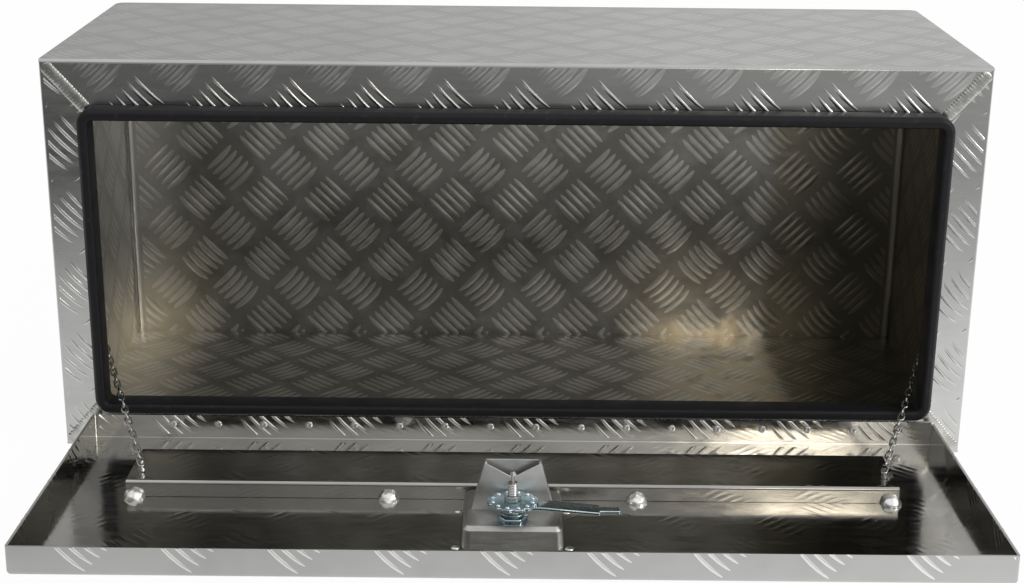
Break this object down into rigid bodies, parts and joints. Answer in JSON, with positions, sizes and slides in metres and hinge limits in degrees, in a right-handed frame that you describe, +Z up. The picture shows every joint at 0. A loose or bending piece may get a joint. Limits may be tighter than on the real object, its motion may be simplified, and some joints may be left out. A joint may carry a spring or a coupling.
{
  "type": "underbody truck tool box",
  "caption": "Folded tread plate tool box for under a truck bed, with a drop-down door on a continuous hinge, two chains, a rubber seal and a turning latch.",
  "frame": {"origin": "middle of the box's bottom face, between the front and back faces of the shell", "axes": "+X to the right when facing the door, +Y towards the back, +Z up"},
  "size_m": [0.915, 0.6788, 0.4],
  "materials": {
    "tread_plate": "bright raised-bar tread plate",
    "weld_metal": "rippled weld bead",
    "black_rubber": "matt black extruded rubber",
    "hinge_steel": "plain stainless sheet",
    "rivet_aluminium": "bright dome",
    "satin_steel": "satin stainless sheet",
    "zinc_plate": "bright blue zinc plating",
    "handle_chrome": "polished",
    "chain_steel": "bright plated wire"
  },
  "bodies": {
    "box": {"side_back_wrap": "tread_plate", "top_panel": "tread_plate", "bottom_panel": "tread_plate", "mitre_welds": "weld_metal", "door_seal": "black_rubber", "wall_eye_left": "chain_steel", "wall_eye_right": "chain_steel", "hinge_leaf_box": "hinge_steel", "hinge_pin": "hinge_steel", "hinge_rivets_box": "rivet_aluminium"},
    "door": {"door_pan": "tread_plate", "door_stiffener": "tread_plate", "stiffener_welds": "weld_metal", "chain_stud_left": "chain_steel", "chain_stud_right": "chain_steel", "hinge_leaf_door": "hinge_steel", "hinge_rivets_door": "rivet_aluminium", "latch_dish": "satin_steel", "latch_dish_rivets": "rivet_aluminium", "latch_guard": "satin_steel", "latch_barrel": "zinc_plate", "barrel_nut": "zinc_plate"},
    "latch": {"latch_spindle": "zinc_plate", "latch_washer": "zinc_plate", "latch_tongue": "zinc_plate", "latch_cam_disc": "zinc_plate", "spindle_nut": "zinc_plate", "spindle_screw": "zinc_plate"},
    "handle": {"folding_handle": "handle_chrome", "handle_pin": "handle_chrome"},
    "key": {"key_plug": "handle_chrome"},
    "chain_left_upper": {"chain_left_upper": "chain_steel"},
    "chain_left_lower": {"chain_left_lower": "chain_steel"},
    "chain_right_upper": {"chain_right_upper": "chain_steel"},
    "chain_right_lower": {"chain_right_lower": "chain_steel"}
  },
  "joints": [
    {"name": "door_hinge", "type": "hinge", "parent": "box", "child": "door", "pos_m": [0, -0.1782, 0.0376], "axis": [-1, 0, 0], "range_deg": [0, 88]},
    {"name": "latch_turn", "type": "hinge", "parent": "door", "child": "latch", "pos_m": [0, -0.43405, 0.04653], "axis": [0, -0.0349, -0.9994], "range_deg": [0, 90]},
    {"name": "handle_fold", "type": "hinge", "parent": "latch", "child": "handle", "pos_m": [0, -0.43462, 0.03004], "axis": [-1, 0, 0], "range_deg": [0, 90]},
    {"name": "key_turn", "type": "hinge", "parent": "handle", "child": "key", "pos_m": [0, -0.40764, 0.0291], "axis": [0, -0.0349, -0.9994], "range_deg": [0, 90]},
    {"name": "chain_left_upper_swing", "type": "hinge", "parent": "box", "child": "chain_left_upper", "pos_m": [-0.44, -0.075, 0.092], "axis": [0.1206, -0.1783, 0.9766], "range_deg": [0, 39]},
    {"name": "chain_left_lower_swing", "type": "hinge", "parent": "door", "child": "chain_left_lower", "pos_m": [-0.352, -0.30825, 0.03854], "axis": [0.2803, 0.3137, -0.9072], "range_deg": [0, 41.6]},
    {"name": "chain_right_upper_swing", "type": "hinge", "parent": "box", "child": "chain_right_upper", "pos_m": [0.44, -0.075, 0.092], "axis": [0.1206, 0.1783, -0.9766], "range_deg": [0, 39]},
    {"name": "chain_right_lower_swing", "type": "hinge", "parent": "door", "child": "chain_right_lower", "pos_m": [0.352, -0.30825, 0.03854], "axis": [0.2803, -0.3137, 0.9072], "range_deg": [0, 41.6]}
  ],
  "couplings": [
    {"joint": "chain_left_upper_swing", "follows": "door_hinge", "ratio": 0.44318},
    {"joint": "chain_left_lower_swing", "follows": "door_hinge", "ratio": 0.47273},
    {"joint": "chain_right_upper_swing", "follows": "door_hinge", "ratio": 0.44318},
    {"joint": "chain_right_lower_swing", "follows": "door_hinge", "ratio": 0.47273}
  ]
}
